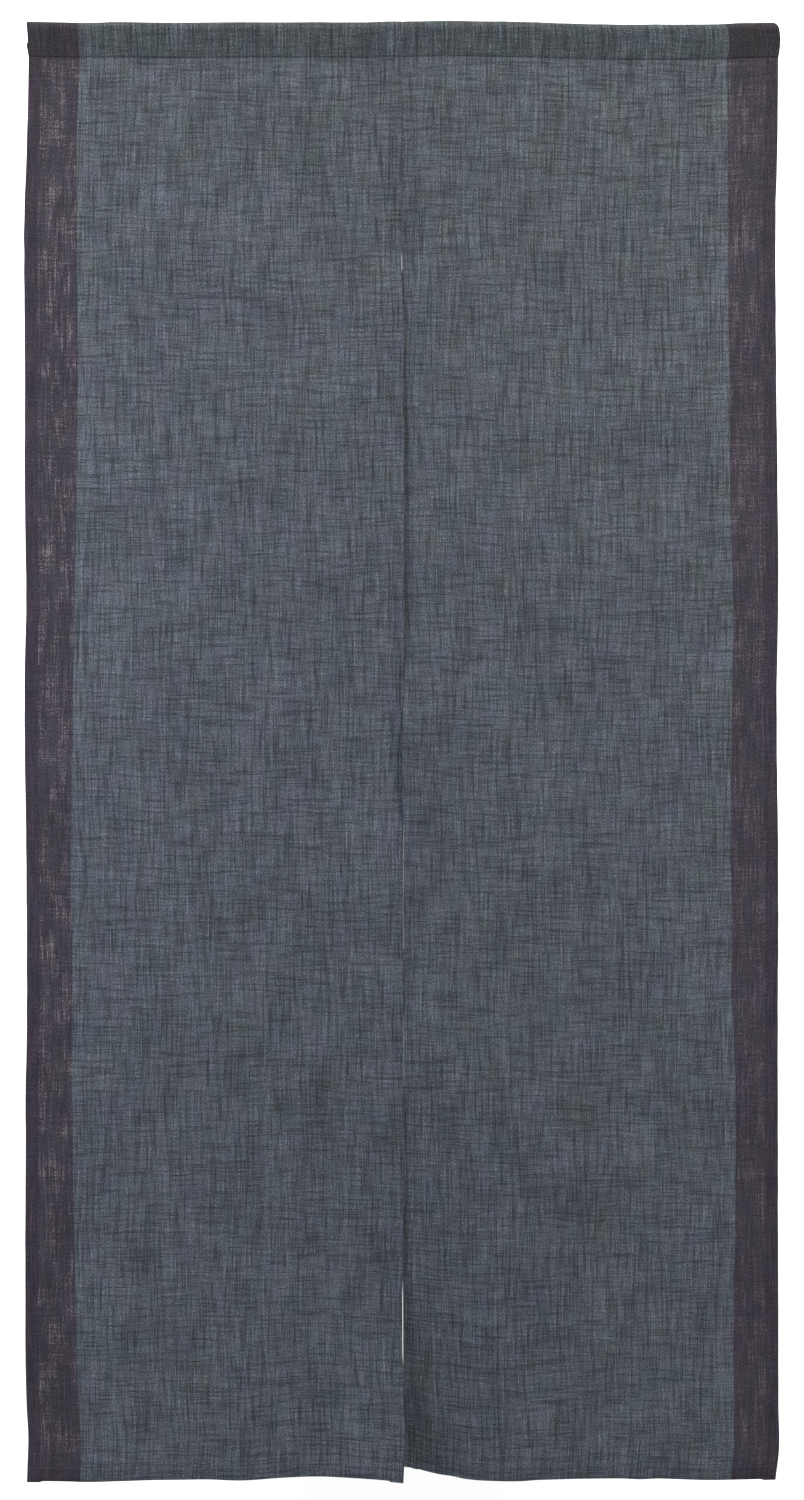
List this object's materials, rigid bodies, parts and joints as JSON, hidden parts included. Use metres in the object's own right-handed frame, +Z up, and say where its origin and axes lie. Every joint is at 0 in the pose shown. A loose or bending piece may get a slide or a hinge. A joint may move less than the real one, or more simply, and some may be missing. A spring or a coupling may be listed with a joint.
{
  "type": "split doorway curtain with a rod pocket",
  "caption": "Split doorway curtain of slub cloth: panels sewn together at the top and open below, darker bands down the outer sides and a rod pocket along the top edge.",
  "frame": {"origin": "middle of the top edge, where a rod carries the curtain", "axes": "+X across the curtain along the rod, +Y from the front to the back, +Z up"},
  "size_m": [0.8859, 0.0564, 1.7112],
  "materials": {
    "panel_cloth": "matt plain weave of uneven slub yarns, slate blue-grey, with a dark plum band down the outer side and a little daylight through its thin places",
    "heading_cloth": "the same slub cloth doubled over, so darker and opaque, slate blue-grey with dark plum ends"
  },
  "bodies": {
    "root": {"heading": "heading_cloth", "panel_left": "panel_cloth", "panel_right": "panel_cloth"}
  },
  "joints": []
}
